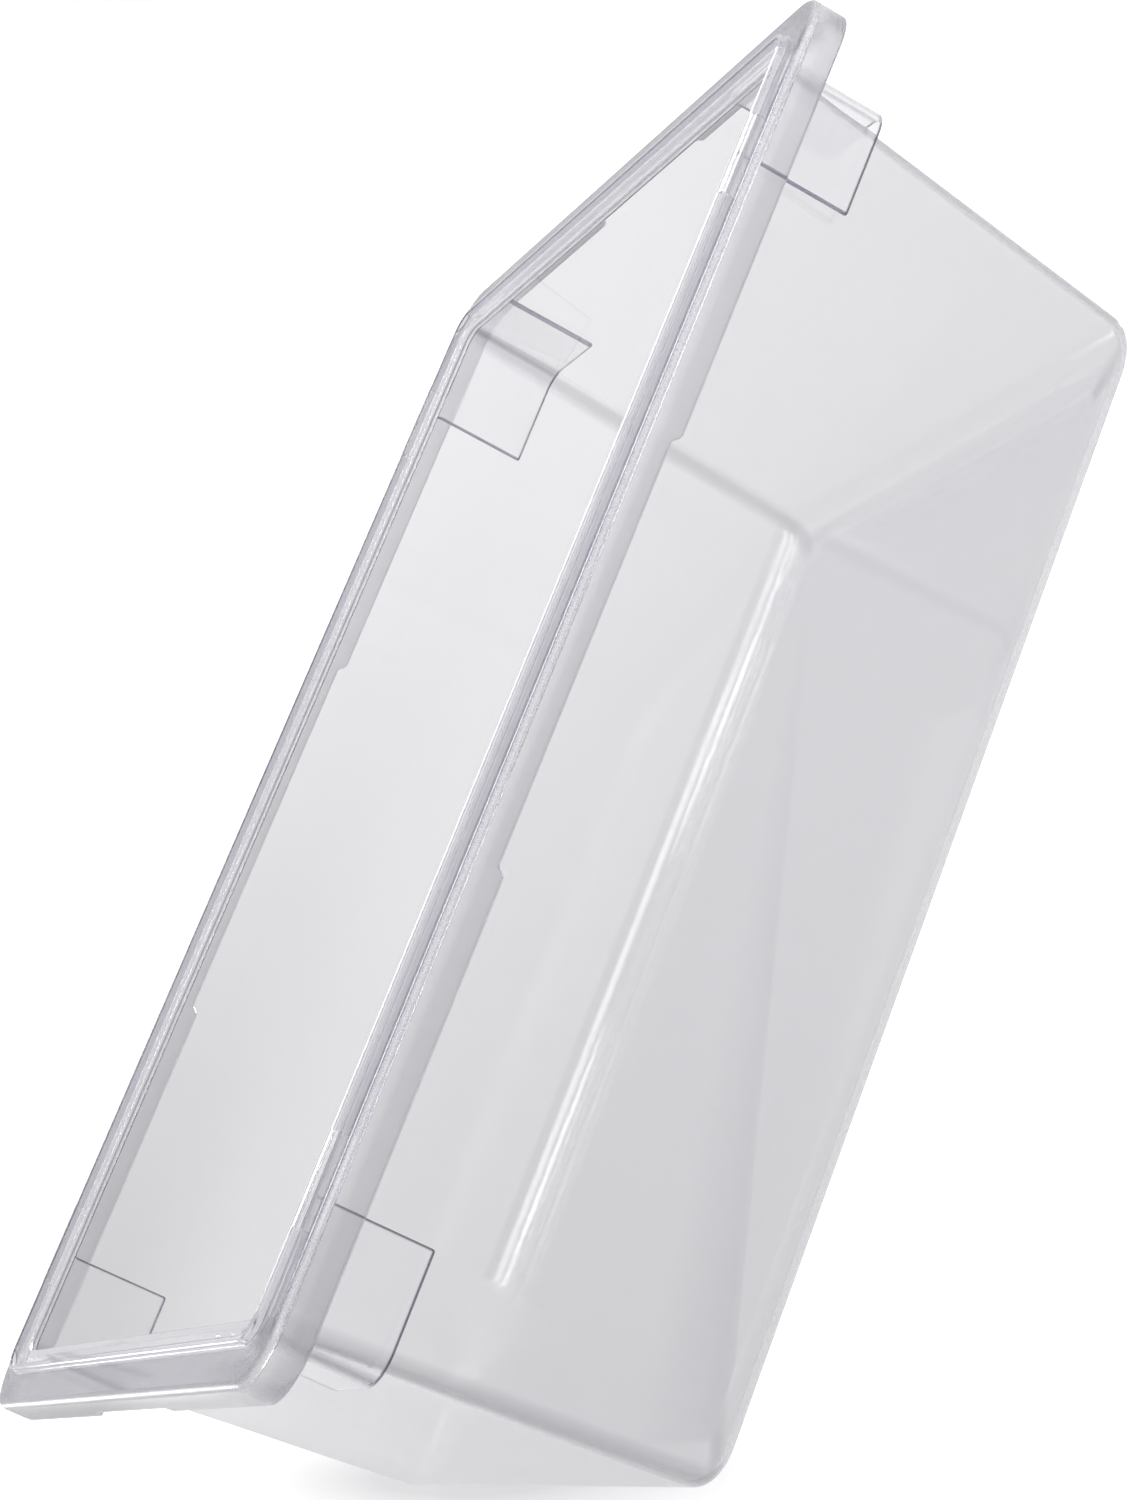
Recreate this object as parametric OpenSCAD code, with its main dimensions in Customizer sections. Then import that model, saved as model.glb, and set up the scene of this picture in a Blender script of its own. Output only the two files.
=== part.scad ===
// Clear food storage box: a drafted tub with a flanged rim, a down-turned skirt, a lid lip and corner lugs.
// X runs along the long side, +Z is up through the mouth, the origin is the centre of the underside.

/* [Overall size] */
// Outer length of the rim
rim_length = 660; // [600:5:720]
// Outer width of the rim
rim_width = 457; // [400:1:520]
// Full height from the underside to the top of the lip
box_height = 222.5; // [150:0.5:300]

/* [Tub] */
// Wall thickness of the tub
wall = 3; // [2.2:0.1:4]
// Floor thickness of the tub
floor_thickness = 3.2; // [2.2:0.1:4.4]
// Outward lean of the four walls in degrees
draft = 4.6; // [2:0.1:6]
// Outer radius along the floor edges
floor_radius = 19; // [10:0.5:24]
// Outer radius along the upright corners
corner_radius = 12; // [8:0.5:18]

/* [Rim] */
// Reach of the flange beyond the outside of the walls
flange_reach = 26.5; // [24:0.5:32]
// Thickness of the flange
flange_thickness = 4; // [4:0.1:5]
// Radius of the rim corners seen from above
rim_corner = 25; // [18:0.5:32]
// Rounding of the outer top edge of the flange
rim_edge_radius = 3.6; // [1:0.1:3.8]

/* [Skirt] */
// Depth of the skirt below the flange
skirt_depth = 13.8; // [8:0.2:20]
// Thickness of the skirt
skirt_thickness = 3; // [2:0.1:4]
// Depth of the grip recess along each side of the skirt
grip_depth = 3.6; // [1:0.2:6]
// Length of the grip recess on the long sides
grip_length = 208; // [120:2:260]
// Length of the grip recess on the short sides
grip_width = 126; // [80:2:180]

/* [Lid seat] */
// Height of the lip above the flange
lip_height = 4; // [3.4:0.1:6]
// Thickness of the lip
lip_thickness = 2.8; // [2:0.1:3.5]
// Distance from the outside of the rim to the outside of the lip
lip_inset = 18; // [15:0.5:19]
// Radius of the lip corners seen from above
lip_corner = 13; // [8:0.5:18]
// Length of each lid catch beside the lip
catch_length = 41.4; // [20:0.2:60]
// Distance from the end of the lip to the middle of each lid catch
catch_setback = 68.5; // [50:0.5:120]
// Width of each lid catch
catch_width = 3.2; // [2:0.1:3.2]

/* [Stacking lugs] */
// Distance the lugs hang below the flange
lug_drop = 52; // [30:1:70]
// Thickness of the lug plates
lug_thickness = 2.8; // [2:0.1:3.5]
// Length of the two legs of each lug measured from the corner
lug_leg = 59; // [35:1:75]
// Clearance between a lug and the wall beside it
lug_clearance = 0.4; // [0.3:0.05:1]

/* [Hidden] */

$fn = 64;
cut = 1;
// How far a rounding stands proud of the faces it joins, so that it ends on one clean edge
proud = 0.01;
clear_color = [0.86, 0.88, 0.92, 0.4];
rim_color = [0.80, 0.81, 0.86, 0.6];
lug_color = [0.90, 0.92, 0.96, 0.5];

flange_top = box_height - lip_height;
flange_under = flange_top - flange_thickness;
slope = tan(draft);
wall_across = wall / cos(draft);
top_half_x = rim_length / 2 - flange_reach;
top_half_y = rim_width / 2 - flange_reach;
floor_half_x = top_half_x - flange_under * slope;
floor_half_y = top_half_y - flange_under * slope;
mouth_half_x = top_half_x - wall_across;
mouth_half_y = top_half_y - wall_across;
inner_corner = corner_radius - wall;
inner_floor_radius = floor_radius - floor_thickness;
inner_floor_half_x = floor_half_x + floor_thickness * slope - wall_across;
inner_floor_half_y = floor_half_y + floor_thickness * slope - wall_across;
edge_top = floor_radius / 2;
// How far the flat land of an upright corner runs on past its rounding
corner_land = 1.5;
corner_inset = corner_radius / cos(draft) + corner_land;
flat_half_x = floor_half_x - floor_radius;
flat_half_y = floor_half_y - floor_radius;
mitre_half = flat_half_x - flat_half_y;
mitre_reach = rim_width / 2;
lug_half_x = top_half_x + lug_clearance + lug_thickness;
lug_half_y = top_half_y + lug_clearance + lug_thickness;
lug_corner = corner_radius + lug_clearance + lug_thickness;
lip_half_x = rim_length / 2 - lip_inset;
lip_half_y = rim_width / 2 - lip_inset;
skirt_foot = flange_under - skirt_depth;

// The draft seen in the upright plane through a corner, and half the angle between the two wall normals there.
corner_lean = atan(sqrt(2) * slope);
normal_across = cos(draft) / sqrt(2);
normal_out = cos(draft) * cos(corner_lean) / sqrt(2) + sin(draft) * sin(corner_lean);
normal_half_angle = atan2(normal_across, normal_out);

// Waste outside a floor edge: the square edge minus the round, standing in the plane across the edge.
module floor_edge_waste(half, base, radius) {
    centre = half + radius * slope - radius / cos(draft);
    tangent_x = centre + radius * cos(draft);
    tangent_z = base + radius * (1 - sin(draft));
    difference() {
        polygon([
            [centre, base], [centre, base - cut], [half + radius, base - cut],
            [half + radius, tangent_z], [tangent_x, tangent_z]
        ]);
        translate([centre, base + radius])
            circle(r = radius + proud);
    }
}

// Waste outside an upright corner, standing in the plane across the leaning corner edge.
module corner_waste(radius) {
    far = 2.5 * radius;
    side = [cos(normal_half_angle), sin(normal_half_angle)];
    difference() {
        polygon([
            [radius * side[0], -radius * side[1]], [far * side[0], -far * side[1]],
            [far * side[0], far * side[1]], [radius * side[0], radius * side[1]]
        ]);
        circle(r = radius + proud);
    }
}

// A box whose four walls lean outward, with rounded floor edges and rounded upright corners.
module drafted_box(half_x, half_y, base, top, edge, corner) {
    rise = top - base;
    top_x = half_x + rise * slope;
    top_y = half_y + rise * slope;
    axis_inset = corner / cos(draft);
    overrun = 2 * corner;
    difference() {
        intersection() {
            rotate([90, 0, 0])
                linear_extrude(height = 2 * top_y + 2 * cut, center = true)
                    polygon([[-half_x, base], [half_x, base], [top_x, top], [-top_x, top]]);
            rotate([90, 0, 90])
                linear_extrude(height = 2 * top_x + 2 * cut, center = true)
                    polygon([[-half_y, base], [half_y, base], [top_y, top], [-top_y, top]]);
        }
        for (turn = [0, 180]) {
            rotate([0, 0, turn])
                rotate([90, 0, 0])
                    linear_extrude(height = 2 * top_y + 2 * cut, center = true)
                        floor_edge_waste(half_x, base, edge);
            rotate([0, 0, turn + 90])
                rotate([90, 0, 0])
                    linear_extrude(height = 2 * top_x + 2 * cut, center = true)
                        floor_edge_waste(half_y, base, edge);
        }
        for (side_x = [-1, 1], side_y = [-1, 1])
            translate([side_x * (half_x - axis_inset), side_y * (half_y - axis_inset), base])
                rotate([0, 0, atan2(side_y, side_x)])
                    rotate([0, corner_lean, 0])
                        translate([0, 0, -overrun])
                            linear_extrude(height = rise / cos(corner_lean) + 2 * overrun)
                                corner_waste(corner);
    }
}

// Carries an outline round a rounded rectangle; the outline's X runs out from the corner axis.
module around_rim(length, width, radius) {
    for (side_x = [-1, 1], side_y = [-1, 1])
        translate([side_x * (length / 2 - radius), side_y * (width / 2 - radius), 0])
            rotate([0, 0, atan2(side_y, side_x) - 45])
                rotate_extrude(angle = 90)
                    children();
    for (turn = [0, 180]) {
        rotate([0, 0, turn])
            translate([length / 2 - radius, 0, 0])
                rotate([90, 0, 0])
                    linear_extrude(height = width - 2 * radius, center = true)
                        children();
        rotate([0, 0, turn + 90])
            translate([width / 2 - radius, 0, 0])
                rotate([90, 0, 0])
                    linear_extrude(height = length - 2 * radius, center = true)
                        children();
    }
}

// A flat rounded rectangle centred on the origin.
module rounded_rectangle(half_x, half_y, radius) {
    difference() {
        square([2 * half_x, 2 * half_y], center = true);
        for (side_x = [-1, 1], side_y = [-1, 1])
            translate([side_x * (half_x - radius), side_y * (half_y - radius)])
                rotate(atan2(side_y, side_x) - 45)
                    difference() {
                        square(radius + cut);
                        circle(r = radius + proud);
                    }
    }
}

// The form of the whole tub, from which the floor and the walls are parted.
module tub_form() {
    difference() {
        drafted_box(floor_half_x, floor_half_y, 0, flange_under, floor_radius, corner_radius);
        drafted_box(inner_floor_half_x, inner_floor_half_y, floor_thickness, flange_under + cut,
                    inner_floor_radius, inner_corner);
    }
}

// What the tub holds between two heights, over the outline given from above.
module tub_slice(low, high) {
    color(clear_color)
        intersection() {
            tub_form();
            translate([0, 0, low])
                linear_extrude(height = high - low)
                    children();
        }
}

// The flat floor, inside its rounded edges.
module tub_floor() {
    tub_slice(-cut, edge_top)
        square([2 * flat_half_x, 2 * flat_half_y], center = true);
}

// Outline of a long side from the flat floor out, between the mitres of two corners; side is -1 for the front.
module long_side(side) {
    polygon([
        [-flat_half_x, side * flat_half_y], [flat_half_x, side * flat_half_y],
        [mitre_half + mitre_reach, side * mitre_reach], [-mitre_half - mitre_reach, side * mitre_reach]
    ]);
}

// Outline of a short side from the flat floor out, between the mitres of two corners; end is -1 for the left.
module short_side(end) {
    polygon([
        [end * flat_half_x, -flat_half_y], [end * flat_half_x, flat_half_y],
        [end * (mitre_half + mitre_reach), mitre_reach], [end * (mitre_half + mitre_reach), -mitre_reach]
    ]);
}

// The lower half of the rounded edge that turns up from the flat floor to a wall.
module floor_edge() {
    tub_slice(-cut, edge_top)
        children();
}

// The space between two leaning planes that part the walls from the upright corners; half is taken at the underside.
module between_corners(half) {
    lean = box_height * slope;
    rotate([90, 0, 0])
        linear_extrude(height = rim_length + 2 * cut, center = true)
            polygon([[-half, 0], [half, 0], [half + lean, box_height], [-half - lean, box_height]]);
}

// A leaning long wall, from the upper half of the rounded floor edge up to the flange.
module long_wall(side) {
    intersection() {
        tub_slice(edge_top, box_height)
            long_side(side);
        between_corners(floor_half_x - corner_inset);
    }
}

// A leaning short wall.
module short_wall(end) {
    intersection() {
        tub_slice(edge_top, box_height)
            short_side(end);
        rotate([0, 0, 90])
            between_corners(floor_half_y - corner_inset);
    }
}

// A rounded upright corner between a long wall and a short wall.
module upright_corner(end, side) {
    difference() {
        tub_slice(edge_top, box_height)
            translate([end * rim_length / 4, side * rim_width / 4])
                square([rim_length / 2, rim_width / 2], center = true);
        between_corners(floor_half_x - corner_inset);
        rotate([0, 0, 90])
            between_corners(floor_half_y - corner_inset);
    }
}

// Half section of the outer band of the flange, with the outer top edge rounded.
module flange_section() {
    round_x = rim_corner - rim_edge_radius;
    round_z = flange_top - rim_edge_radius;
    translate([0, flange_under])
        square([round_x, flange_thickness]);
    translate([round_x, flange_under])
        square([rim_edge_radius, flange_thickness - rim_edge_radius]);
    intersection() {
        translate([round_x, round_z])
            circle(r = rim_edge_radius);
        translate([round_x, round_z])
            square(rim_edge_radius);
    }
}

// The flat frame round the mouth.
module rim_flange() {
    color(rim_color)
        difference() {
            union() {
                around_rim(rim_length, rim_width, rim_corner)
                    flange_section();
                translate([0, 0, flange_under])
                    linear_extrude(height = flange_thickness)
                        square([rim_length - 2 * rim_corner, rim_width - 2 * rim_corner], center = true);
            }
            translate([0, 0, flange_under - cut])
                linear_extrude(height = flange_thickness + 2 * cut)
                    rounded_rectangle(mouth_half_x, mouth_half_y, inner_corner);
        }
}

// Outline of a grip recess, cut from the lower edge of the skirt.
module grip_outline(length) {
    polygon([
        [-length / 2 - cut, skirt_foot - cut], [length / 2 + cut, skirt_foot - cut],
        [length / 2 - grip_depth, skirt_foot + grip_depth], [-length / 2 + grip_depth, skirt_foot + grip_depth]
    ]);
}

// The band that turns down from the outside of the flange.
module rim_skirt() {
    color(rim_color)
        difference() {
            around_rim(rim_length, rim_width, rim_corner)
                translate([rim_corner - skirt_thickness, skirt_foot])
                    square([skirt_thickness, skirt_depth]);
            rotate([90, 0, 0])
                linear_extrude(height = rim_width + 2 * cut, center = true)
                    grip_outline(grip_length);
            rotate([90, 0, 90])
                linear_extrude(height = rim_length + 2 * cut, center = true)
                    grip_outline(grip_width);
        }
}

// The thin upstanding lip the lid fits over.
module mouth_lip() {
    color(clear_color)
        around_rim(2 * lip_half_x, 2 * lip_half_y, lip_corner)
            translate([lip_corner - lip_thickness, flange_top])
                square([lip_thickness, lip_height]);
}

// A short quarter-round bar beside the lip that holds the lid; end is -1 for left and 1 for right.
module lid_catch(end, side) {
    foot = lip_height - catch_width;
    color(lug_color)
        translate([end * (lip_half_x - catch_setback), side * lip_half_y, flange_top])
            mirror([0, side < 0 ? 1 : 0, 0])
                rotate([90, 0, 90])
                    linear_extrude(height = catch_length, center = true) {
                        square([catch_width, foot]);
                        translate([0, foot])
                            intersection() {
                                circle(r = catch_width);
                                square(catch_width);
                            }
                    }
}

// Outline of one lug from above at the right-hand back corner.
module lug_outline() {
    intersection() {
        difference() {
            rounded_rectangle(lug_half_x, lug_half_y, lug_corner);
            rounded_rectangle(lug_half_x - lug_thickness, lug_half_y - lug_thickness, lug_corner - lug_thickness);
        }
        translate([lug_half_x - lug_leg, lug_half_y - lug_leg])
            square(lug_leg + cut);
    }
}

// An L-shaped plate hanging under the flange at one corner.
module stacking_lug(end, side) {
    color(lug_color)
        mirror([end < 0 ? 1 : 0, 0, 0])
            mirror([0, side < 0 ? 1 : 0, 0])
                translate([0, 0, flange_under - lug_drop])
                    linear_extrude(height = lug_drop)
                        lug_outline();
}

tub_floor();
floor_edge() long_side(-1);  // floor_edge_front
floor_edge() long_side(1);  // floor_edge_back
floor_edge() short_side(-1);  // floor_edge_left
floor_edge() short_side(1);  // floor_edge_right
long_wall(-1);  // wall_front
long_wall(1);  // wall_back
short_wall(-1);  // wall_left
short_wall(1);  // wall_right
upright_corner(-1, -1);  // corner_front_left
upright_corner(1, -1);  // corner_front_right
upright_corner(-1, 1);  // corner_back_left
upright_corner(1, 1);  // corner_back_right
rim_flange();
rim_skirt();
mouth_lip();
lid_catch(-1, -1);  // catch_front_left
lid_catch(1, -1);  // catch_front_right
lid_catch(-1, 1);  // catch_back_left
lid_catch(1, 1);  // catch_back_right
stacking_lug(-1, -1);  // lug_front_left
stacking_lug(1, -1);  // lug_front_right
stacking_lug(-1, 1);  // lug_back_left
stacking_lug(1, 1);  // lug_back_right
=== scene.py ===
import math

import bpy
import numpy as np
from mathutils import Matrix, Quaternion, Vector


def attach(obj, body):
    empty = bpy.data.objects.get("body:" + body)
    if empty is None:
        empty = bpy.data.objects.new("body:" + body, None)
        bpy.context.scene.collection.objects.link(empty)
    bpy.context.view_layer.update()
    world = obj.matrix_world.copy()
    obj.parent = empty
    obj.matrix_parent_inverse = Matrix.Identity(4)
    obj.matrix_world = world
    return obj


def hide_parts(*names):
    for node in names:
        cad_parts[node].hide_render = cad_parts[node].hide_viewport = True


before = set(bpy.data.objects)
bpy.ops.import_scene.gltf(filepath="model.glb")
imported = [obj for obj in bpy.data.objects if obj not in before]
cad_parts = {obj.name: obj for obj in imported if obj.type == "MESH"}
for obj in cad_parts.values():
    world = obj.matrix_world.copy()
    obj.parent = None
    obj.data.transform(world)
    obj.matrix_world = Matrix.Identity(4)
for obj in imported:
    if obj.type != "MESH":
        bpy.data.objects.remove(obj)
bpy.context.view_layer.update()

# Tub: the floor and four leaning walls of a one-piece injection moulding in clear polycarbonate.
# Its skin is laid as rings that follow the rounded rectangle of the box, open at the top where the moulding
# runs on into the flange. The ends of the long walls carry a faint mould texture.
MM = 0.001
NEAR = 0.01
RIM_HALF_X = 330.0
RIM_HALF_Y = 228.5
FLANGE_UNDER = 214.5
DRAFT = math.tan(math.radians(4.6))
FLOOR_INSET = 43.76
TOP_INSET = 26.5
MOUTH_INSET = 29.51
INSIDE_INSET = 46.51
FLOOR_TOP = 3.2
FLAT_INSET = 68.0
TUB_CORNER = 12.0
INSIDE_CORNER = 9.0
FLOOR_ROUND = 19.0
INSIDE_FLOOR_ROUND = 15.8
MOUTH_ROUND = 30.0
WALL_JOIN = 213.8
MOUTH_JOIN = 216.6

# Points along half of a long and of a short side, set where the grips, catches and lugs begin and end.
LONG_STOPS = [0.0, 50.0, 99.8, 101.0, 103.4, 104.6, 160.0, 222.8, 247.7, 264.2]
SHORT_STOPS = [0.0, 30.0, 58.8, 60.0, 62.4, 63.6, 105.0, 146.2]
CORNER_STEPS = 18
LEAST_CORNER_GAP = 1.0


def rim_stations():
    """Where the skin's rings have their points: stops along each half side and steps round each corner."""
    turns = [90.0 * i / CORNER_STEPS for i in range(CORNER_STEPS + 1)]
    first = [("short", v) for v in SHORT_STOPS] + [("turn", a) for a in turns]
    first += [("long", v) for v in reversed(LONG_STOPS)]
    made = []
    for quarter, (sx, sy) in enumerate([(1, 1), (-1, 1), (-1, -1), (1, -1)]):
        run = first if quarter % 2 == 0 else list(reversed(first))
        made += [(kind, value, sx, sy) for kind, value in run[:-1]]
    return made


STATIONS = rim_stations()
CORNER_SHADE_END = 80.0


def corner_share(angle):
    """How far the painted edge shade shows round a corner: most on the half that belongs to the short side.
    """
    return math.sin(math.pi * angle / CORNER_SHADE_END) if angle < CORNER_SHADE_END else 0.0


def rim_ring(inset, corner):
    """Points and outward directions of one ring that lies inset from the outside of the rim."""
    straight_x = RIM_HALF_X - inset - corner
    straight_y = RIM_HALF_Y - inset - corner
    shrink_x = min(1.0, (straight_x - LEAST_CORNER_GAP) / LONG_STOPS[-1])
    shrink_y = min(1.0, (straight_y - LEAST_CORNER_GAP) / SHORT_STOPS[-1])
    places, faces_to = [], []
    for kind, value, sx, sy in STATIONS:
        if kind == "short":
            x, y, dx, dy = RIM_HALF_X - inset, value * shrink_y, 1.0, 0.0
        elif kind == "long":
            x, y, dx, dy = value * shrink_x, RIM_HALF_Y - inset, 0.0, 1.0
        else:
            dx, dy = math.cos(math.radians(value)), math.sin(math.radians(value))
            x, y = straight_x + corner * dx, straight_y + corner * dy
        places.append((sx * x, sy * y))
        faces_to.append((sx * dx, sy * dy))
    return np.array(places), np.array(faces_to)


# An arc of this radius gets the steps asked for, and a larger one more of them.
PLAIN_ARC = 1.5
NO_TURN = 1e-6


def rounded_section(corners, steps=5):
    """Section line through corners of (inset, height, ring corner, rounding), with an arc at each rounding.

    Gives rows of inset, height, ring corner, the change of each along the line, and 1 within an arc."""
    spot = [np.array(c[:3], float) for c in corners]
    rows = []
    for i, (_, _, _, rounding) in enumerate(corners):
        here = spot[i]
        back = here - spot[i - 1] if i else spot[1] - here
        on = spot[i + 1] - here if i + 1 < len(spot) else back
        u, v = back / np.hypot(back[0], back[1]), on / np.hypot(on[0], on[1])
        cross = u[0] * v[1] - u[1] * v[0]
        turn = math.atan2(cross, u[0] * v[0] + u[1] * v[1])
        if not rounding or abs(turn) < NO_TURN:
            rows.append((*here, *((u + v) / 2), 0.0))
            continue
        reach = rounding * math.tan(abs(turn) / 2)
        start, end = here - u * reach, here + v * reach
        side = math.copysign(1.0, turn)
        centre = start[:2] + side * rounding * np.array([-u[1], u[0]])
        count = max(2, int(steps * max(1.0, rounding / PLAIN_ARC) ** 0.5))
        for n in range(count + 1):
            share = n / count
            angle = turn * share
            c, s = math.cos(angle), math.sin(angle)
            along = np.array([u[0] * c - u[1] * s, u[0] * s + u[1] * c])
            place = centre - side * rounding * np.array([-along[1], along[0]])
            bend = (end[2] - start[2]) / (rounding * abs(turn))
            rows.append((*place, start[2] + (end[2] - start[2]) * share, *along, bend, float(0 < n < count)))
    return rows


class Skin:
    """Gathers points, true normals and faces in millimetres, then makes them a piece in metres."""

    def __init__(self):
        self.points, self.normals, self.faces, self.frost, self.edge = [], [], [], [], []

    def add_points(self, points, normals, frost=0.0, edge=0.0):
        start = len(self.points)
        self.points += [tuple(p) for p in points]
        self.normals += [tuple(n) for n in normals]
        self.frost += list(np.broadcast_to(np.asarray(frost, float), len(points)))
        self.edge += list(np.broadcast_to(np.asarray(edge, float), len(points)))
        return start

    def add_strip(self, corners, steps=5, left_out=None, lift=None, frost=None, edge=None):
        """Lays rings along a section line.

        left_out(inset, station) skips a face and lift(places, height) raises points. frost(inset, height) is
        the grain and edge(inset, height, arc, turning) the share of painted edge shade: arc is 1 within a
        rounding of the section, and turning is up to 1 round the corners of the ring."""
        rows = rounded_section(corners, steps)
        count = len(STATIONS)
        turning = np.array([corner_share(value) if kind == "turn" else 0.0 for kind, value, _, _ in STATIONS])
        starts = []
        for inset, height, corner, inset_on, up, corner_on, within in rows:
            places, facing = rim_ring(inset, corner)
            out = -inset_on
            spread = np.abs(facing).sum(1)
            level = (out - corner_on) * spread + corner_on
            normal = np.column_stack([facing * up, -level])
            normal /= np.linalg.norm(normal, axis=1)[:, None]
            raised = np.zeros(count) if lift is None else lift(places, height)
            points = np.column_stack([places, np.full(count, height) + raised])
            grain = frost(inset, height) if frost else 0.0
            share = edge(inset, height, within, turning) if edge else 0.0
            starts.append(self.add_points(points, normal, grain, share))
        for row in range(len(rows) - 1):
            for j in range(count):
                if left_out and left_out(0.5 * (rows[row][0] + rows[row + 1][0]), j):
                    continue
                k = (j + 1) % count
                a, b = starts[row], starts[row + 1]
                self.faces.append((a + j, a + k, b + k, b + j))
        return starts

    def make(self, name, material, nodes):
        points, normals = np.array(self.points), np.array(self.normals)
        for n, face in enumerate(self.faces):
            a, b, c = points[list(face[:3])]
            if np.dot(np.cross(b - a, c - b), normals[list(face)].sum(0)) < 0:
                self.faces[n] = tuple(reversed(face))
        mesh = bpy.data.meshes.new(name)
        mesh.from_pydata([(x * MM, y * MM, z * MM) for x, y, z in self.points], [], self.faces)
        mesh.shade_smooth()
        mesh.normals_split_custom_set_from_vertices(self.normals)
        mesh.attributes.new("frost", "FLOAT", "POINT").data.foreach_set("value", self.frost)
        mesh.attributes.new("edge", "FLOAT", "POINT").data.foreach_set("value", self.edge)
        mesh.materials.append(material)
        piece = bpy.data.objects.new(name, mesh)
        bpy.context.scene.collection.objects.link(piece)
        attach(piece, "root")
        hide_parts(*nodes)
        return piece


HAZE_SCALE, HAZE_DETAIL, HAZE_ROUGHNESS = 35.0, 4.0, 0.05
GRAIN_SCALE, GRAIN_DETAIL, GRAIN_MIDDLE = 2200.0, 2.0, 0.5
GRAIN_ROUGHNESS, GRAIN_BUMP = 2.0, 0.06
WAVE_SCALE, WAVE_DETAIL = 9.0, 1.0


def moulded_surface():
    """Finish of the whole moulding: slow waves, a fine frosted grain and the faint haze of handling."""
    group = bpy.data.node_groups.new("moulded_surface", "ShaderNodeTree")
    for label, kind, value in (("Frost", "NodeSocketFloat", 0.0), ("Polish", "NodeSocketFloat", 0.02),
                               ("Frosted", "NodeSocketFloat", 0.3), ("Wave", "NodeSocketFloat", 1.0)):
        socket = group.interface.new_socket(label, in_out="INPUT", socket_type=kind)
        socket.default_value = value
    group.interface.new_socket("Roughness", in_out="OUTPUT", socket_type="NodeSocketFloat")
    group.interface.new_socket("Height", in_out="OUTPUT", socket_type="NodeSocketFloat")
    new, link = group.nodes.new, group.links.new
    came = new("NodeGroupInput")
    goes = new("NodeGroupOutput")
    place = new("ShaderNodeTexCoord").outputs["Object"]

    def noise(scale, detail):
        node = new("ShaderNodeTexNoise")
        node.inputs["Scale"].default_value = scale
        node.inputs["Detail"].default_value = detail
        link(place, node.inputs["Vector"])
        return node.outputs["Fac"]

    def math_node(kind, a, b):
        node = new("ShaderNodeMath")
        node.operation = kind
        for socket, value in zip(node.inputs, (a, b)):
            if isinstance(value, float):
                socket.default_value = value
            else:
                link(value, socket)
        return node.outputs[0]

    haze = math_node("MULTIPLY", noise(HAZE_SCALE, HAZE_DETAIL), HAZE_ROUGHNESS)
    base = math_node("ADD", came.outputs["Polish"], haze)
    grain = noise(GRAIN_SCALE, GRAIN_DETAIL)
    frosted = math_node("MULTIPLY", grain, came.outputs["Frosted"])
    rough = math_node("MULTIPLY", frosted, came.outputs["Frost"])
    link(math_node("ADD", base, math_node("MULTIPLY", rough, GRAIN_ROUGHNESS)), goes.inputs["Roughness"])
    wave = math_node("MULTIPLY", noise(WAVE_SCALE, WAVE_DETAIL), came.outputs["Wave"])
    ups_and_downs = math_node("SUBTRACT", grain, GRAIN_MIDDLE)
    bumps = math_node("MULTIPLY", math_node("MULTIPLY", ups_and_downs, came.outputs["Frost"]), GRAIN_BUMP)
    link(math_node("ADD", wave, bumps), goes.inputs["Height"])
    return group


MOULDED_SURFACE = moulded_surface()
# Violet colour of the painted shade at the plastic's edges, bends, joins and corners.
PAINTED_EDGE_SHADE = (0.13, 0.12, 0.17, 1.0)
POLYCARBONATE_IOR = 1.58
SURFACE_RELIEF = 0.002
TRAPPED_BOUNCES = 4.5


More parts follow.
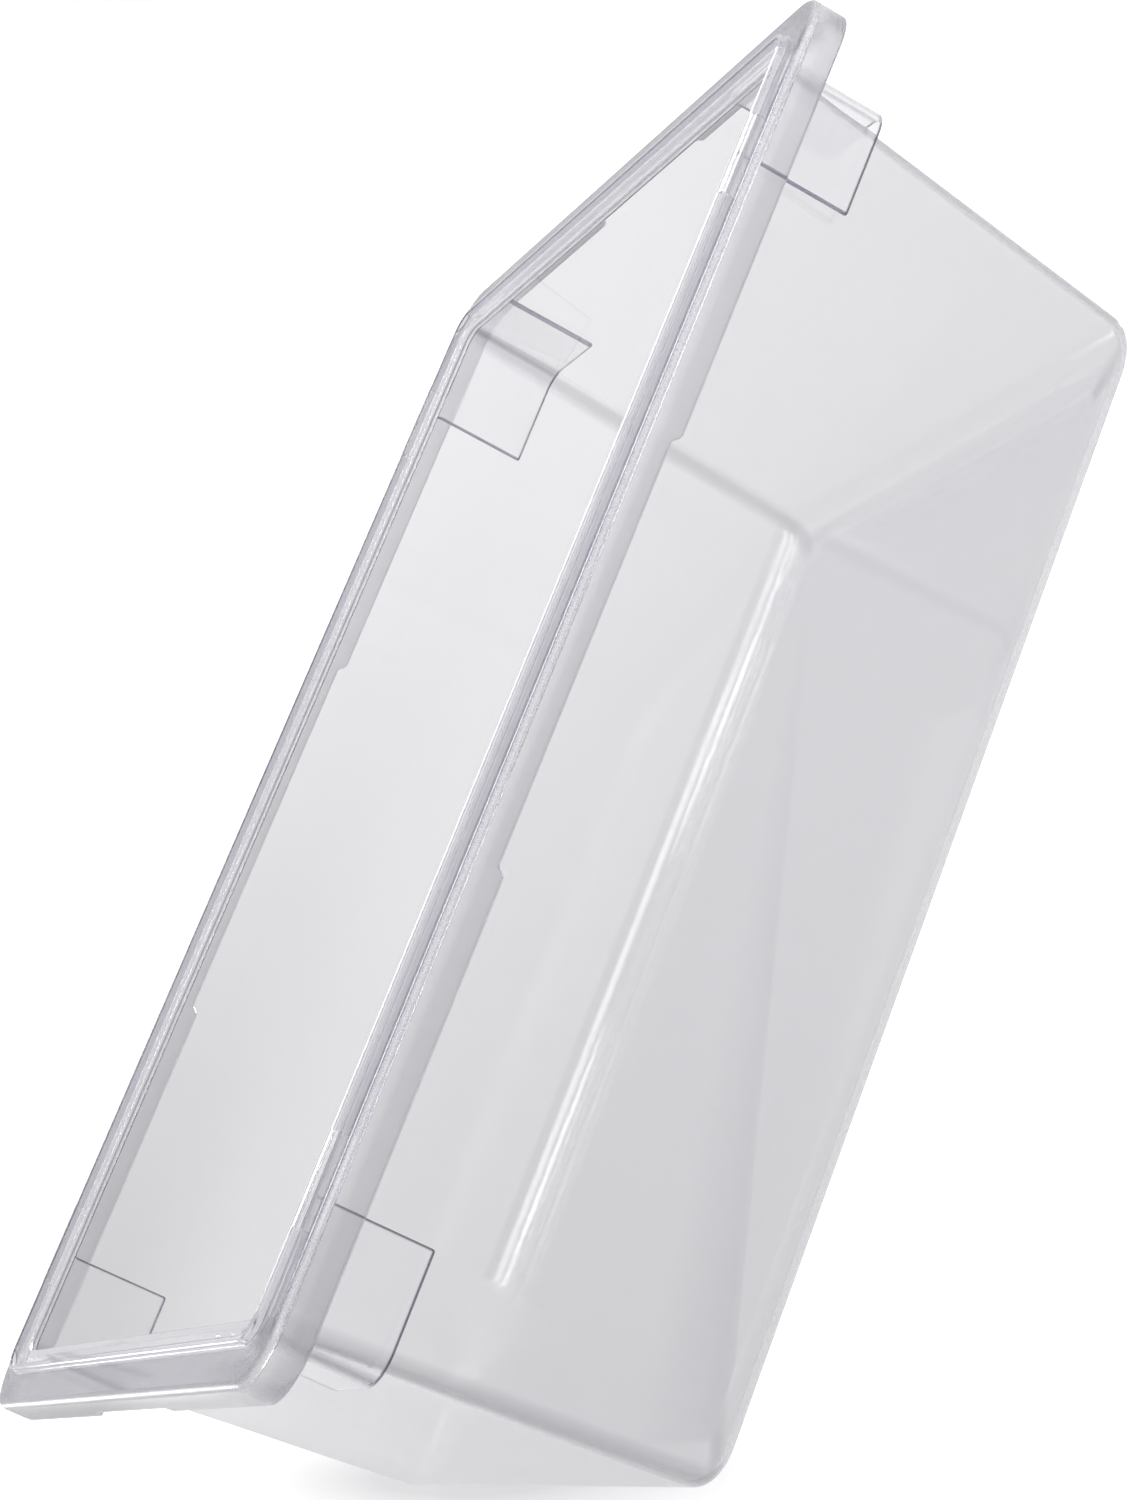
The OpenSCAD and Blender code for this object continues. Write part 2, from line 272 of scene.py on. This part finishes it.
def clear_plastic(name, tint, polish, frosted, wave, shade, zone=None):
    """Clear polycarbonate: glass-like, with the moulded finish, and a violet painted shade mixed in where the
    edge attribute asks.

    Lamps shine straight through it in its shade, and light that stays trapped in the plastic is let out."""
    material = bpy.data.materials.new(name)
    material.use_nodes = True
    nodes, link = material.node_tree.nodes, material.node_tree.links.new
    plastic = nodes["Principled BSDF"]
    output = nodes["Material Output"]
    colour = nodes.new("ShaderNodeMix")
    colour.data_type = "RGBA"
    colour.inputs["A"].default_value = (*tint, 1.0)
    colour.inputs["B"].default_value = PAINTED_EDGE_SHADE
    edge = nodes.new("ShaderNodeAttribute")
    edge.attribute_name = "edge"
    link(edge.outputs["Fac"], colour.inputs["Factor"])
    link(colour.outputs["Result"], plastic.inputs["Base Color"])
    plastic.inputs["IOR"].default_value = POLYCARBONATE_IOR
    plastic.inputs["Transmission Weight"].default_value = 1.0
    finish = nodes.new("ShaderNodeGroup")
    finish.node_tree = MOULDED_SURFACE
    finish.inputs["Polish"].default_value = polish
    finish.inputs["Frosted"].default_value = frosted
    finish.inputs["Wave"].default_value = wave
    frost = nodes.new("ShaderNodeAttribute")
    frost.attribute_name = "frost"
    grainy = zone(nodes, link, frost.outputs["Fac"]) if zone else frost.outputs["Fac"]
    link(grainy, finish.inputs["Frost"])
    bump = nodes.new("ShaderNodeBump")
    bump.inputs["Distance"].default_value = SURFACE_RELIEF
    bump.inputs["Strength"].default_value = 1.0
    link(finish.outputs["Height"], bump.inputs["Height"])
    link(bump.outputs["Normal"], plastic.inputs["Normal"])
    link(finish.outputs["Roughness"], plastic.inputs["Roughness"])
    lamp_pass = nodes.new("ShaderNodeBsdfTransparent")
    lamp_pass.inputs["Color"].default_value = (*shade, 1.0)
    rays = nodes.new("ShaderNodeLightPath")
    unseen = nodes.new("ShaderNodeMath")
    unseen.operation = "MAXIMUM"
    link(rays.outputs["Is Shadow Ray"], unseen.inputs[0])
    link(rays.outputs["Is Diffuse Ray"], unseen.inputs[1])
    trapped = nodes.new("ShaderNodeMath")
    trapped.operation = "GREATER_THAN"
    trapped.inputs[1].default_value = TRAPPED_BOUNCES
    link(rays.outputs["Ray Depth"], trapped.inputs[0])
    let_through = nodes.new("ShaderNodeMath")
    let_through.operation = "MAXIMUM"
    link(unseen.outputs[0], let_through.inputs[0])
    link(trapped.outputs[0], let_through.inputs[1])
    mix = nodes.new("ShaderNodeMixShader")
    link(let_through.outputs[0], mix.inputs["Fac"])
    link(plastic.outputs["BSDF"], mix.inputs[1])
    link(lamp_pass.outputs["BSDF"], mix.inputs[2])
    link(mix.outputs["Shader"], output.inputs["Surface"])
    return material


TEXTURE_START, TEXTURE_FULL = 0.247, 0.252
TEXTURE_SHARE = 0.5
TEXTURE_ROUND = {"long": 1.0, "turn": 0.4, "short": 0.0}


def wall_end_zone(nodes, link, frost):
    """Mask of the lightly textured ends of the walls, beyond the stacking lugs' legs."""
    place = nodes.new("ShaderNodeTexCoord")
    split = nodes.new("ShaderNodeSeparateXYZ")
    link(place.outputs["Object"], split.inputs["Vector"])
    from_middle = nodes.new("ShaderNodeMath")
    from_middle.operation = "ABSOLUTE"
    link(split.outputs["X"], from_middle.inputs[0])
    ramp = nodes.new("ShaderNodeMapRange")
    ramp.inputs["From Min"].default_value = TEXTURE_START
    ramp.inputs["From Max"].default_value = TEXTURE_FULL
    ramp.inputs["To Max"].default_value = TEXTURE_SHARE
    link(from_middle.outputs[0], ramp.inputs["Value"])
    both = nodes.new("ShaderNodeMath")
    both.operation = "MULTIPLY"
    link(ramp.outputs["Result"], both.inputs[0])
    link(frost, both.inputs[1])
    return both.outputs[0]


def wall_frost(inset, height):
    """The long walls may be textured outside, their corners less so and the short walls not at all."""
    return np.array([TEXTURE_ROUND[kind] for kind, _, _, _ in STATIONS])


# Shares of painted shade on the walls' bends and corners.
WALL_BEND_SHADE, WALL_CORNER_SHADE = 0.06, 0.5
# Share of the painted dark line where the walls meet the flange inside the mouth.
MOUTH_LINE_SHADE = 0.9


def wall_shade(inset, height, arc, turning):
    """The walls take a little painted shade where they bend, and more round their corners."""
    return np.maximum(WALL_BEND_SHADE * arc, WALL_CORNER_SHADE * turning)


def mouth_line(inset, height, arc, turning):
    """A painted dark line where the walls join the flange inside the mouth."""
    return MOUTH_LINE_SHADE * (abs(height - MOUTH_JOIN) < NEAR)


clear_wall = clear_plastic("clear_wall", tint=(0.92, 0.92, 0.925), polish=0.01, frosted=0.25, wave=0.05,
                           shade=(0.97, 0.97, 0.972), zone=wall_end_zone)
tub = Skin()
wall_join_inset = FLOOR_INSET - WALL_JOIN * DRAFT
outside = tub.add_strip([
    (FLAT_INSET, 0.0, TUB_CORNER, 0),
    (FLOOR_INSET, 0.0, TUB_CORNER, FLOOR_ROUND),
    (wall_join_inset, WALL_JOIN, TUB_CORNER, 0),
], steps=4, frost=wall_frost, edge=wall_shade)
inside = tub.add_strip([
    (MOUTH_INSET, MOUTH_JOIN, INSIDE_CORNER, 0),
    (MOUTH_INSET, FLANGE_UNDER, INSIDE_CORNER, MOUTH_ROUND),
    (INSIDE_INSET, FLOOR_TOP, INSIDE_CORNER, INSIDE_FLOOR_ROUND),
    (FLAT_INSET, FLOOR_TOP, INSIDE_CORNER, 0),
], steps=4, edge=mouth_line)
station_count = len(STATIONS)
tub.faces.append(tuple(outside[0] + j for j in reversed(range(station_count))))
tub.faces.append(tuple(inside[-1] + j for j in range(station_count)))
sides = ("front", "back", "left", "right")
tub_nodes = ["tub_floor"] + [f"{part}_{side}" for part in ("floor_edge", "wall") for side in sides]
tub_nodes += [f"corner_{side}_{end}" for side in sides[:2] for end in sides[2:]]
tub.make("tub", clear_wall, tub_nodes)

# Flange: the flat frame that the walls turn out into, of the same polycarbonate and moulded with them.
# Its top has a satin finish and its rounded outer edge is frosted; the lugs hang from its underside.
FLANGE_TOP = 218.5
SKIRT_THICKNESS = 3.0
RIM_CORNER = 25.0
RIM_ROUND = 3.6
UNDER_ROUND = 0.39
MOUTH_EDGE_ROUND = 0.9
LUG_INNER, LUG_OUTER = 26.1, 23.3
LUG_CORNER_INNER, LUG_CORNER_OUTER = 12.4, 15.2
LUG_STOP_X, LUG_STOP_Y = 247.7, 146.2
CATCH_INSET = 14.8
CATCH_START, CATCH_END = 222.8, 264.2
LIP_OUTER, LIP_INNER = 18.0, 20.8
LIP_CORNER = 13.0
SKIRT_JOIN = 3.8
LIP_JOIN = 1.0
CATCH_LINE_CORNER = 15.0
LIP_INSIDE_CORNER = 10.0

# Insets and ring corners of the extra rows on the flat, which carry the fading of the painted streak.
STREAK_ROWS = ((5.0, 21.6), (7.0, 20.2), (8.0, 19.6), (11.0, 17.6))
STREAK_END, STREAK_FADE = 8.5, 4.0
STREAK_DROP, STREAK_DROP_FADE = 1.4, 1.2
STREAK_TURN_END, STREAK_TURN_FADE = 60.0, 30.0
FLANGE_SHADE = 0.65
RIM_FROST = 0.7
FROST_FOOT, FROST_TOP = 0.9, 0.2


def in_lug(j):
    kind, value, _, _ = STATIONS[j]
    stop = {"long": LUG_STOP_X, "short": LUG_STOP_Y}
    return kind == "turn" or value >= stop[kind] - NEAR


def in_catch(j):
    kind, value, _, _ = STATIONS[j]
    return kind == "long" and CATCH_START - NEAR <= value <= CATCH_END + NEAR


def under_lug(inset, j):
    both = in_lug(j) and in_lug((j + 1) % len(STATIONS))
    return both and LUG_OUTER < inset < LUG_INNER


def under_catch(inset, j):
    both = in_catch(j) and in_catch((j + 1) % len(STATIONS))
    return both and CATCH_INSET < inset < LIP_OUTER + LIP_JOIN


def rim_frost(inset, height):
    """Frost on the rounded outer edge all round, and on the outer part of the flat at the corners."""
    edge = RIM_FROST * (inset < RIM_ROUND and FLANGE_UNDER + FROST_FOOT < height < FLANGE_TOP - FROST_TOP)
    corner = RIM_FROST * (inset < CATCH_INSET)
    return np.array([corner if kind == "turn" else edge for kind, _, _, _ in STATIONS])


def long_side_share(kind, value):
    """1 on a long side, fading to 0 in the third of the corner next to it."""
    if kind == "turn":
        return min(1.0, max(0.0, (value - STREAK_TURN_END) / STREAK_TURN_FADE))
    return float(kind == "long")


def rim_streak(inset, height, arc, turning):
    """The satin flat is dusky all round, and a painted dark reflection lies in a streak along the long sides
    where it starts to bend.
    """
    inwards = np.clip((STREAK_END - inset) / STREAK_FADE, 0.0, 1.0)
    downwards = np.clip((STREAK_DROP - (FLANGE_TOP - height)) / STREAK_DROP_FADE, 0.0, 1.0)
    sideways = np.array([long_side_share(kind, value) for kind, value, _, _ in STATIONS])
    return np.maximum(inwards * sideways, FLANGE_SHADE) * downwards


def under_shade(inset, height, arc, turning):
    """A painted dark line stands for the shade in the hollow where the walls meet the flange, seen through
    the plastic.
    """
    return float(inset > LUG_INNER)


satin_rim = clear_plastic("satin_rim", tint=(0.91, 0.905, 0.92), polish=0.03, frosted=0.3, wave=0.03,
                          shade=(0.96, 0.96, 0.97))
flange = Skin()
flange.add_strip([
    (wall_join_inset, WALL_JOIN, TUB_CORNER, 0),
    (TOP_INSET, FLANGE_UNDER, TUB_CORNER, UNDER_ROUND),
    (LUG_INNER, FLANGE_UNDER, LUG_CORNER_INNER, 0),
    (LUG_OUTER, FLANGE_UNDER, LUG_CORNER_OUTER, 0),
    (SKIRT_JOIN, FLANGE_UNDER, RIM_CORNER - SKIRT_JOIN, 0),
], left_out=under_lug, edge=under_shade)
flange.add_strip([
    (0.0, FLANGE_UNDER, RIM_CORNER, 0),
    (0.0, FLANGE_TOP, RIM_CORNER, RIM_ROUND),
    *[(inset, FLANGE_TOP, corner, 0) for inset, corner in STREAK_ROWS],
    (CATCH_INSET, FLANGE_TOP, CATCH_LINE_CORNER, 0),
    (LIP_OUTER - LIP_JOIN, FLANGE_TOP, LIP_CORNER, 0),
], left_out=under_catch, frost=rim_frost, edge=rim_streak)
flange.add_strip([
    (LIP_INNER + LIP_JOIN, FLANGE_TOP, LIP_INSIDE_CORNER, 0),
    (MOUTH_INSET, FLANGE_TOP, INSIDE_CORNER, MOUTH_EDGE_ROUND),
    (MOUTH_INSET, MOUTH_JOIN, INSIDE_CORNER, 0),
], edge=mouth_line)
flange.make("flange", satin_rim, ["rim_flange"])

# Skirt: the band that turns down from the outside of the flange and is moulded with it.
# It is smooth but for frosted corners, and a recess in the middle of each side makes room for fingers.
SKIRT_FOOT = 200.7
GRIP_DEPTH = 3.6
GRIP_HALF_X, GRIP_HALF_Y = 104.0, 63.0
GRIP_FADE_TOP, GRIP_FADE = 211.0, 9.0
EDGE = 0.8
# Height at which the skirt's painted shade is full; it fades out up to the flange.
SKIRT_LIGHT = 209.0
SKIRT_DEEP = 0.28
SKIRT_DEEP_SHORT = 0.6


def grip_lift(places, height):
    """How far the skirt's foot rises in the grip recesses."""
    low = np.clip((GRIP_FADE_TOP - height) / GRIP_FADE, 0.0, 1.0)
    along_x = np.clip(GRIP_HALF_X - np.abs(places[:, 0]), 0.0, GRIP_DEPTH)
    along_y = np.clip(GRIP_HALF_Y - np.abs(places[:, 1]), 0.0, GRIP_DEPTH)
    return low * np.maximum(along_x, along_y)


def skirt_shade(inset, height, arc, turning):
    """Painted shade: the skirt darkens towards its foot, most on the short sides."""
    deep = np.array([SKIRT_DEEP_SHORT if kind == "short" else SKIRT_DEEP for kind, _, _, _ in STATIONS])
    return deep * np.clip((FLANGE_UNDER - height) / (FLANGE_UNDER - SKIRT_LIGHT), 0.0, 1.0)


def skirt_frost(inset, height):
    """Frost outside at the corners of the skirt."""
    corner = RIM_FROST * (inset < EDGE)
    return np.array([corner if kind == "turn" else 0.0 for kind, _, _, _ in STATIONS])


clear_skirt = clear_plastic("clear_skirt", tint=(0.92, 0.92, 0.93), polish=0.03, frosted=0.2, wave=0.03,
                            shade=(0.96, 0.96, 0.97))
skirt = Skin()
skirt.add_strip([
    (SKIRT_JOIN, FLANGE_UNDER, RIM_CORNER - SKIRT_JOIN, 0),
    (SKIRT_THICKNESS, FLANGE_UNDER, RIM_CORNER - SKIRT_THICKNESS, EDGE),
    (SKIRT_THICKNESS, SKIRT_FOOT, RIM_CORNER - SKIRT_THICKNESS, EDGE),
    (0.0, SKIRT_FOOT, RIM_CORNER, EDGE),
    (0.0, SKIRT_LIGHT, RIM_CORNER, 0),
    (0.0, FLANGE_UNDER, RIM_CORNER, 0),
], lift=grip_lift, frost=skirt_frost, edge=skirt_shade)
skirt.make("skirt", clear_skirt, ["rim_skirt"])

# Lip: the thin upstanding rib that the lid caps, moulded on the flange and set back from the mouth.
# It is polished, and open where the lid catches are moulded against it.
LIP_TOP = 222.5
LIP_THICKNESS = 2.8
LIP_FOOT_ROUND = 0.3
LIP_FOOT_SHADE = 0.9
clear_lip = clear_plastic("clear_lip", tint=(0.92, 0.915, 0.94), polish=0.02, frosted=0.2, wave=0.02,
                          shade=(0.94, 0.94, 0.95))
lip_line = [
    (LIP_OUTER - LIP_JOIN, FLANGE_TOP, LIP_CORNER, 0),
    (LIP_OUTER, FLANGE_TOP, LIP_CORNER, LIP_FOOT_ROUND),
    (LIP_OUTER, LIP_TOP, LIP_CORNER, EDGE),
    (LIP_OUTER + LIP_JOIN, LIP_TOP, LIP_CORNER - LIP_JOIN, 0),
    (LIP_INNER, LIP_TOP, LIP_CORNER - LIP_THICKNESS, EDGE),
    (LIP_INNER, FLANGE_TOP, LIP_CORNER - LIP_THICKNESS, LIP_FOOT_ROUND),
    (LIP_INNER + LIP_JOIN, FLANGE_TOP, LIP_INSIDE_CORNER, 0),
]


def lip_shade(inset, height, arc, turning):
    """The foot of the lip outside and the top of it inside carry painted dark lines."""
    foot = inset <= LIP_OUTER and height <= FLANGE_TOP + EDGE
    top = inset >= LIP_INNER - EDGE and height >= LIP_TOP - EDGE
    return arc * (LIP_FOOT_SHADE * foot + top)


lip = Skin()
lip.add_strip(lip_line, left_out=under_catch, edge=lip_shade)
lip.make("lip", clear_lip, ["mouth_lip"])

# Lid catches: four short quarter-round bars against the outside of the lip on the long sides.
# They are moulded with the rim and polished, so they catch the light.
CATCH_ROUND = 3.19
clear_lug = clear_plastic("clear_lug", tint=(0.99, 0.99, 1.0), polish=0.004, frosted=0.2, wave=0.02,
                          shade=(0.96, 0.96, 0.97))
lip_rows = rounded_section(lip_line)
catch_rows = rounded_section([
    (CATCH_INSET, FLANGE_TOP, LIP_CORNER, 0),
    (CATCH_INSET, LIP_TOP, LIP_CORNER, CATCH_ROUND),
    (LIP_OUTER + LIP_JOIN, LIP_TOP, LIP_CORNER, 0),
], steps=8)
lip_side = [row[:2] for row in reversed(lip_rows) if row[0] < LIP_OUTER + LIP_JOIN - NEAR]
catch_edge = [row[:2] for row in catch_rows] + lip_side
for side_name, side in (("front", -1), ("back", 1)):
    for end_name, end in (("left", -1), ("right", 1)):
        catch = Skin()
        spans = []
        for inset, height, _, inset_on, up, _, _ in catch_rows:
            normal = np.array([0.0, side * up, inset_on])
            normal /= np.linalg.norm(normal)
            y = side * (RIM_HALF_Y - inset)
            spans.append(catch.add_points(
                [(end * CATCH_START, y, height), (end * CATCH_END, y, height)], [normal, normal]))
        for a, b in zip(spans, spans[1:]):
            face = (a, a + 1, b + 1, b)
            catch.faces.append(face if end * side < 0 else tuple(reversed(face)))
        for x, way in ((CATCH_START, -1), (CATCH_END, 1)):
            start = catch.add_points(
                [(end * x, side * (RIM_HALF_Y - inset), height) for inset, height in catch_edge],
                [(end * way, 0.0, 0.0)] * len(catch_edge))
            cap = tuple(start + n for n in range(len(catch_edge)))
            catch.faces.append(cap if end * way * side < 0 else tuple(reversed(cap)))
        name = f"catch_{side_name}_{end_name}"
        catch.make(name, clear_lug, [name])

# Stacking lugs: four L-shaped plates that hang under the flange just outside the corners of the tub.
# They are moulded with the flange, water-clear, and carry the weight of a stacked box.
LUG_FOOT = 162.5
LUG_EDGE = 1.3
LUG_ROOT = 3.0
LUG_EDGE_STEPS = 4
LUG_BEND_SHADE, LUG_BEND_END = 0.5, 45.0


def bend_share(kind, value):
    """Painted edge shade in the bend of a lug, on the half that belongs to the short side."""
    if kind == "turn" and value < LUG_BEND_END:
        return LUG_BEND_SHADE * math.sin(math.pi * value / LUG_BEND_END)
    return 0.0


def edge_angle(n):
    """Angle of step n round a lug's rounded edge."""
    return math.radians(90.0 * n / LUG_EDGE_STEPS)


def lug_outline(quarter, rounding):
    """Closed outline of a lug from above with its upright edges rounded, its normals and its shares of
    painted edge shade.
    """
    chosen = [j for j, station in enumerate(STATIONS) if in_lug(j) and station[2:] == quarter]
    outer, facing = rim_ring(LUG_OUTER, LUG_CORNER_OUTER)
    inner, _ = rim_ring(LUG_INNER, LUG_CORNER_INNER)
    first, last = facing[chosen[0]], facing[chosen[-1]]
    before = np.array([first[1], -first[0]])
    after = np.array([-last[1], last[0]])
    points, normals, ends = [], [], []
    bend = [bend_share(*STATIONS[j][:2]) for j in chosen[1:-1]]

    # The rounded upright ends carry full painted edge shade, all but the step that meets the face.
    def end_edge(corner, start, end, face_step):
        centre = corner - rounding * (start + end)
        for n in range(LUG_EDGE_STEPS + 1):
            normal = math.cos(edge_angle(n)) * start + math.sin(edge_angle(n)) * end
            points.append(centre + rounding * normal)
            normals.append(normal)
            ends.append(0.0 if n == face_step else 1.0)

    end_edge(outer[chosen[0]], before, first, LUG_EDGE_STEPS)
    points += [outer[j] for j in chosen[1:-1]]
    normals += [facing[j] for j in chosen[1:-1]]
    ends += bend
    end_edge(outer[chosen[-1]], last, after, 0)
    end_edge(inner[chosen[-1]], after, -last, LUG_EDGE_STEPS)
    points += [inner[j] for j in reversed(chosen[1:-1])]
    normals += [-facing[j] for j in reversed(chosen[1:-1])]
    ends += reversed(bend)
    end_edge(inner[chosen[0]], -first, before, 0)
    return np.array(points), np.array(normals), np.array(ends)


for name, quarter in (("lug_front_left", (-1, -1)), ("lug_front_right", (1, -1)),
                      ("lug_back_left", (-1, 1)), ("lug_back_right", (1, 1))):
    lug = Skin()
    levels = []
    square, _, _ = lug_outline(quarter, NEAR)
    points, normals, ends = lug_outline(quarter, LUG_EDGE)
    for outline, height in ((square, FLANGE_UNDER), (points, FLANGE_UNDER - LUG_ROOT)):
        levels.append(lug.add_points(
            np.column_stack([outline, np.full(len(outline), height)]),
            np.column_stack([normals, np.zeros(len(outline))]), edge=ends))
    for n in range(LUG_EDGE_STEPS + 1):
        angle = edge_angle(n)
        sunk = points - normals * LUG_EDGE * (1.0 - math.cos(angle))
        height = LUG_FOOT + LUG_EDGE * (1.0 - math.sin(angle))
        # The lug's rounded foot carries full painted edge shade past its first step.
        levels.append(lug.add_points(
            np.column_stack([sunk, np.full(len(sunk), height)]),
            np.column_stack([normals * math.cos(angle), np.full(len(sunk), -math.sin(angle))]),
            edge=np.maximum(ends, float(n > 0))))
    count = len(points)
    for a, b in zip(levels, levels[1:]):
        lug.faces += [(a + i, b + i, b + (i + 1) % count, a + (i + 1) % count) for i in range(count)]
    foot = levels[-1]
    for i in range(count // 2 - 1):
        lug.faces.append((foot + i, foot + count - 1 - i, foot + count - 2 - i, foot + i + 1))
    lug.make(name, clear_lug, [name])

# Studio: a white paper floor and surround, two oval lamps overhead, a softbox in front, a small strip behind
# the left end and a softbox behind that lights only the floor. The plastic mirrors and bends a surround that
# is greyer towards the front. The floor glows white to the camera but for a painted shadow at the left end of
# the box, where the glow fades out.
FLOOR_HALF = 30.0
FLOOR_DROP = 0.0005
FLOOR_GLOW = 0.70
# Painted shadow: the floor's glow to the camera fades out in a stretched oval at the box's left end.
SHADOW_CENTRE = (-0.277, 0.15, 0.0)
SHADOW_SIZE = (0.010, 0.13, 1.0)
SHADOW_FULL, SHADOW_END = 1.0, 5.0
scene = bpy.context.scene


def seen_rays(nodes, link, straight, bent):
    """A number for each ray that shows the studio: straight to the camera, or mirrored or let through."""
    rays = nodes.new("ShaderNodeLightPath")
    total = None
    for label, share in (("Is Camera Ray", straight), ("Is Glossy Ray", bent), ("Is Transmission Ray", bent)):
        part = nodes.new("ShaderNodeMath")
        part.operation = "MULTIPLY"
        part.inputs[1].default_value = share
        link(rays.outputs[label], part.inputs[0])
        if total is None:
            total = part.outputs[0]
            continue
        most = nodes.new("ShaderNodeMath")
        most.operation = "MAXIMUM"
        link(total, most.inputs[0])
        link(part.outputs[0], most.inputs[1])
        total = most.outputs[0]
    return total


floor_mesh = bpy.data.meshes.new("studio_floor")
floor_corners = [(FLOOR_HALF * x, FLOOR_HALF * y, 0.0) for x, y in ((-1, -1), (1, -1), (1, 1), (-1, 1))]
floor_mesh.from_pydata(floor_corners, [], [(0, 1, 2, 3)])
studio_floor = bpy.data.objects.new("studio_floor", floor_mesh)
studio_floor.location.z = -FLOOR_DROP
scene.collection.objects.link(studio_floor)
pale = bpy.data.materials.new("pale_floor")
pale.use_nodes = True
nodes, link = pale.node_tree.nodes, pale.node_tree.links.new
paper = nodes["Principled BSDF"]
paper.inputs["Base Color"].default_value = (0.86, 0.86, 0.87, 1.0)
paper.inputs["Roughness"].default_value = 0.9
paper.inputs["Specular IOR Level"].default_value = 0.1
paper.inputs["Emission Color"].default_value = (1.0, 1.0, 1.0, 1.0)
spot = nodes.new("ShaderNodeTexCoord")
shadow = nodes.new("ShaderNodeMapping")
shadow.vector_type = "TEXTURE"
shadow.inputs["Location"].default_value = SHADOW_CENTRE
shadow.inputs["Scale"].default_value = SHADOW_SIZE
link(spot.outputs["Object"], shadow.inputs["Vector"])
away = nodes.new("ShaderNodeVectorMath")
away.operation = "LENGTH"
link(shadow.outputs["Vector"], away.inputs[0])
glow = nodes.new("ShaderNodeMapRange")
glow.inputs["From Min"].default_value = SHADOW_FULL
glow.inputs["From Max"].default_value = SHADOW_END
glow.inputs["To Min"].default_value = 0.0
glow.inputs["To Max"].default_value = FLOOR_GLOW
link(away.outputs["Value"], glow.inputs["Value"])
shown = nodes.new("ShaderNodeMath")
shown.operation = "MULTIPLY"
link(seen_rays(nodes, link, 1.0, 0.0), shown.inputs[0])
link(glow.outputs["Result"], shown.inputs[1])
link(shown.outputs[0], paper.inputs["Emission Strength"])
floor_mesh.materials.append(pale)

LIGHT_SIDE = (0.25, 0.95, 0.15)
LIGHT_SIDE_FULL = 0.85
world = bpy.data.worlds.new("studio_surround")
world.use_nodes = True
scene.world = world
nodes, link = world.node_tree.nodes, world.node_tree.links.new
plain_light = nodes["Background"]
plain_light.inputs["Color"].default_value = (0.34, 0.34, 0.342, 1.0)
direction = nodes.new("ShaderNodeTexCoord")
facing_light = nodes.new("ShaderNodeVectorMath")
facing_light.operation = "DOT_PRODUCT"
facing_light.inputs[1].default_value = LIGHT_SIDE
link(direction.outputs["Generated"], facing_light.inputs[0])
dusk = nodes.new("ShaderNodeValToRGB")
dusk.color_ramp.elements[0].position = 0.0
dusk.color_ramp.elements[0].color = (0.38, 0.37, 0.41, 1.0)
dusk.color_ramp.elements[1].position = LIGHT_SIDE_FULL
dusk.color_ramp.elements[1].color = (0.80, 0.785, 0.82, 1.0)
link(facing_light.outputs["Value"], dusk.inputs["Fac"])
surround = nodes.new("ShaderNodeBackground")
link(dusk.outputs["Color"], surround.inputs["Color"])
white = nodes.new("ShaderNodeBackground")
white.inputs["Color"].default_value = (1.0, 1.0, 1.0, 1.0)
world_rays = nodes.new("ShaderNodeLightPath")
seen = nodes.new("ShaderNodeMixShader")
link(seen_rays(nodes, link, 1.0, 1.0), seen.inputs["Fac"])
link(plain_light.outputs["Background"], seen.inputs[1])
link(surround.outputs["Background"], seen.inputs[2])
backdrop = nodes.new("ShaderNodeMixShader")
link(world_rays.outputs["Is Camera Ray"], backdrop.inputs["Fac"])
link(seen.outputs["Shader"], backdrop.inputs[1])
link(white.outputs["Background"], backdrop.inputs[2])
link(backdrop.outputs["Shader"], nodes["World Output"].inputs["Surface"])

# Each lamp's name, place, target, length along X, width and power.
LAMPS = (
    ("disc_right", (1.0, -0.26, 2.0), (0.2, 0.1, 0.0), 0.5, 0.3, 6.0),
    ("disc_left", (0.3, -0.26, 2.0), (-0.1, 0.1, 0.0), 0.45, 0.3, 5.0),
    ("softbox_back", (1.1, 1.5, 1.5), (1.0, 1.2, 0.0), 1.2, 1.2, 20.0),
    ("strip_back", (-0.58, 0.9, 0.32), (-0.33, 0.0, 0.2), 0.2, 0.15, 0.7),
    ("softbox_front", (0.6, -1.3, 1.5), (0.3, -0.5, 0.0), 1.6, 0.9, 15.0),
)
ALONG_BOX = Vector((1.0, 0.0, 0.0))
for name, place, target, length, width, power in LAMPS:
    lamp = bpy.data.lights.new(name, "AREA")
    lamp.shape = "ELLIPSE" if "disc" in name else "RECTANGLE"
    lamp.size = length
    lamp.size_y = width
    lamp.energy = power
    back = (Vector(place) - Vector(target)).normalized()
    side = (ALONG_BOX - back * back.dot(ALONG_BOX)).normalized()
    holder = bpy.data.objects.new(name, lamp)
    holder.location = place
    holder.rotation_mode = "QUATERNION"
    holder.rotation_quaternion = Matrix((side, back.cross(side), back)).transposed().to_quaternion()
    holder.visible_glossy = name != "softbox_back"
    holder.visible_transmission = name != "softbox_back"
    scene.collection.objects.link(holder)

# Camera: a long lens at the photo's viewing angle, fitted to the edges of the rim, walls and lugs.
BOUNCES = 24
lens = bpy.data.cameras.new("camera")
lens.sensor_width = 36.0
lens.lens = 83.341
lens.shift_x = -0.01676
lens.shift_y = 0.0566
lens.clip_start = 0.05
lens.clip_end = 200.0
camera = bpy.data.objects.new("camera", lens)
camera.location = (-0.504355, -1.513180, 0.557074)
camera.rotation_mode = "QUATERNION"
camera.rotation_quaternion = Quaternion((0.6032882, 0.5587282, 0.2282156, -0.5213289))
scene.collection.objects.link(camera)
scene.camera = camera
scene.view_settings.view_transform = "Standard"
scene.cycles.max_bounces = BOUNCES
scene.cycles.transmission_bounces = BOUNCES
scene.cycles.transparent_max_bounces = BOUNCES
scene.cycles.caustics_refractive = False
scene.cycles.caustics_reflective = False
